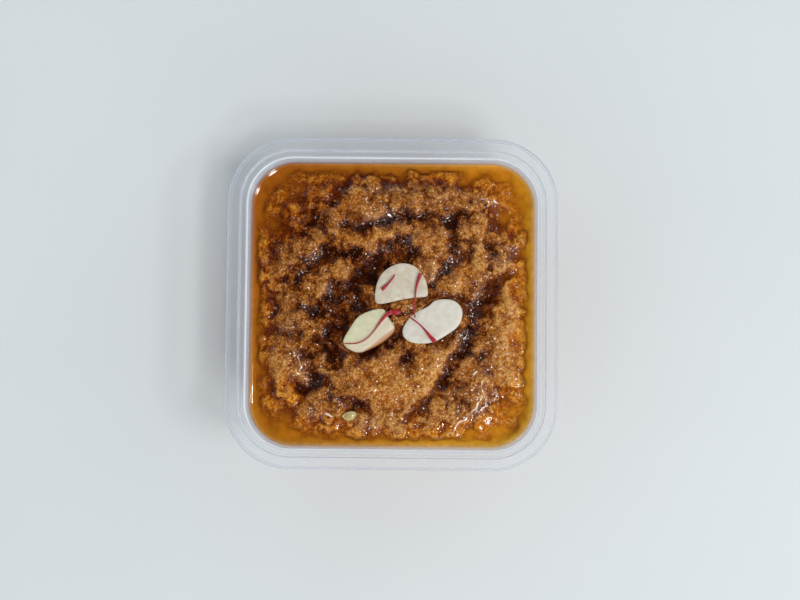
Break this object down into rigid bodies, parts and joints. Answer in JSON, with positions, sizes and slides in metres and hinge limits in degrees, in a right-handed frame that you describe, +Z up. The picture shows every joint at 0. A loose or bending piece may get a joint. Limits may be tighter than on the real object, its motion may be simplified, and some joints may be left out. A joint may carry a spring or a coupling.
{
  "type": "mohanthal",
  "caption": "Soft spooned mohanthal in melted ghee, in an open clear square tub, topped with almond slices and saffron strands.",
  "frame": {"origin": "middle of the tub's foot, in the plane that it stands on", "axes": "+Z up, +X to the right and +Y to the back as the picture shows it"},
  "size_m": [0.104, 0.104, 0.04],
  "materials": {
    "clear_plastic": "clear, slightly milky, smooth",
    "mohanthal": "grainy and wet with ghee",
    "ghee": "clear amber liquid",
    "almond": "smooth cut nut",
    "nut_chip": "smooth, slightly wet",
    "saffron": "dry thread"
  },
  "bodies": {
    "root": {"tub": "clear_plastic", "mohanthal": "mohanthal", "ghee": "ghee", "almond_top": "almond", "almond_right": "almond", "almond_left": "almond", "nut_chip": "nut_chip", "saffron_short": "saffron", "saffron_upright": "saffron", "saffron_crossing": "saffron", "saffron_long": "saffron"}
  },
  "joints": []
}
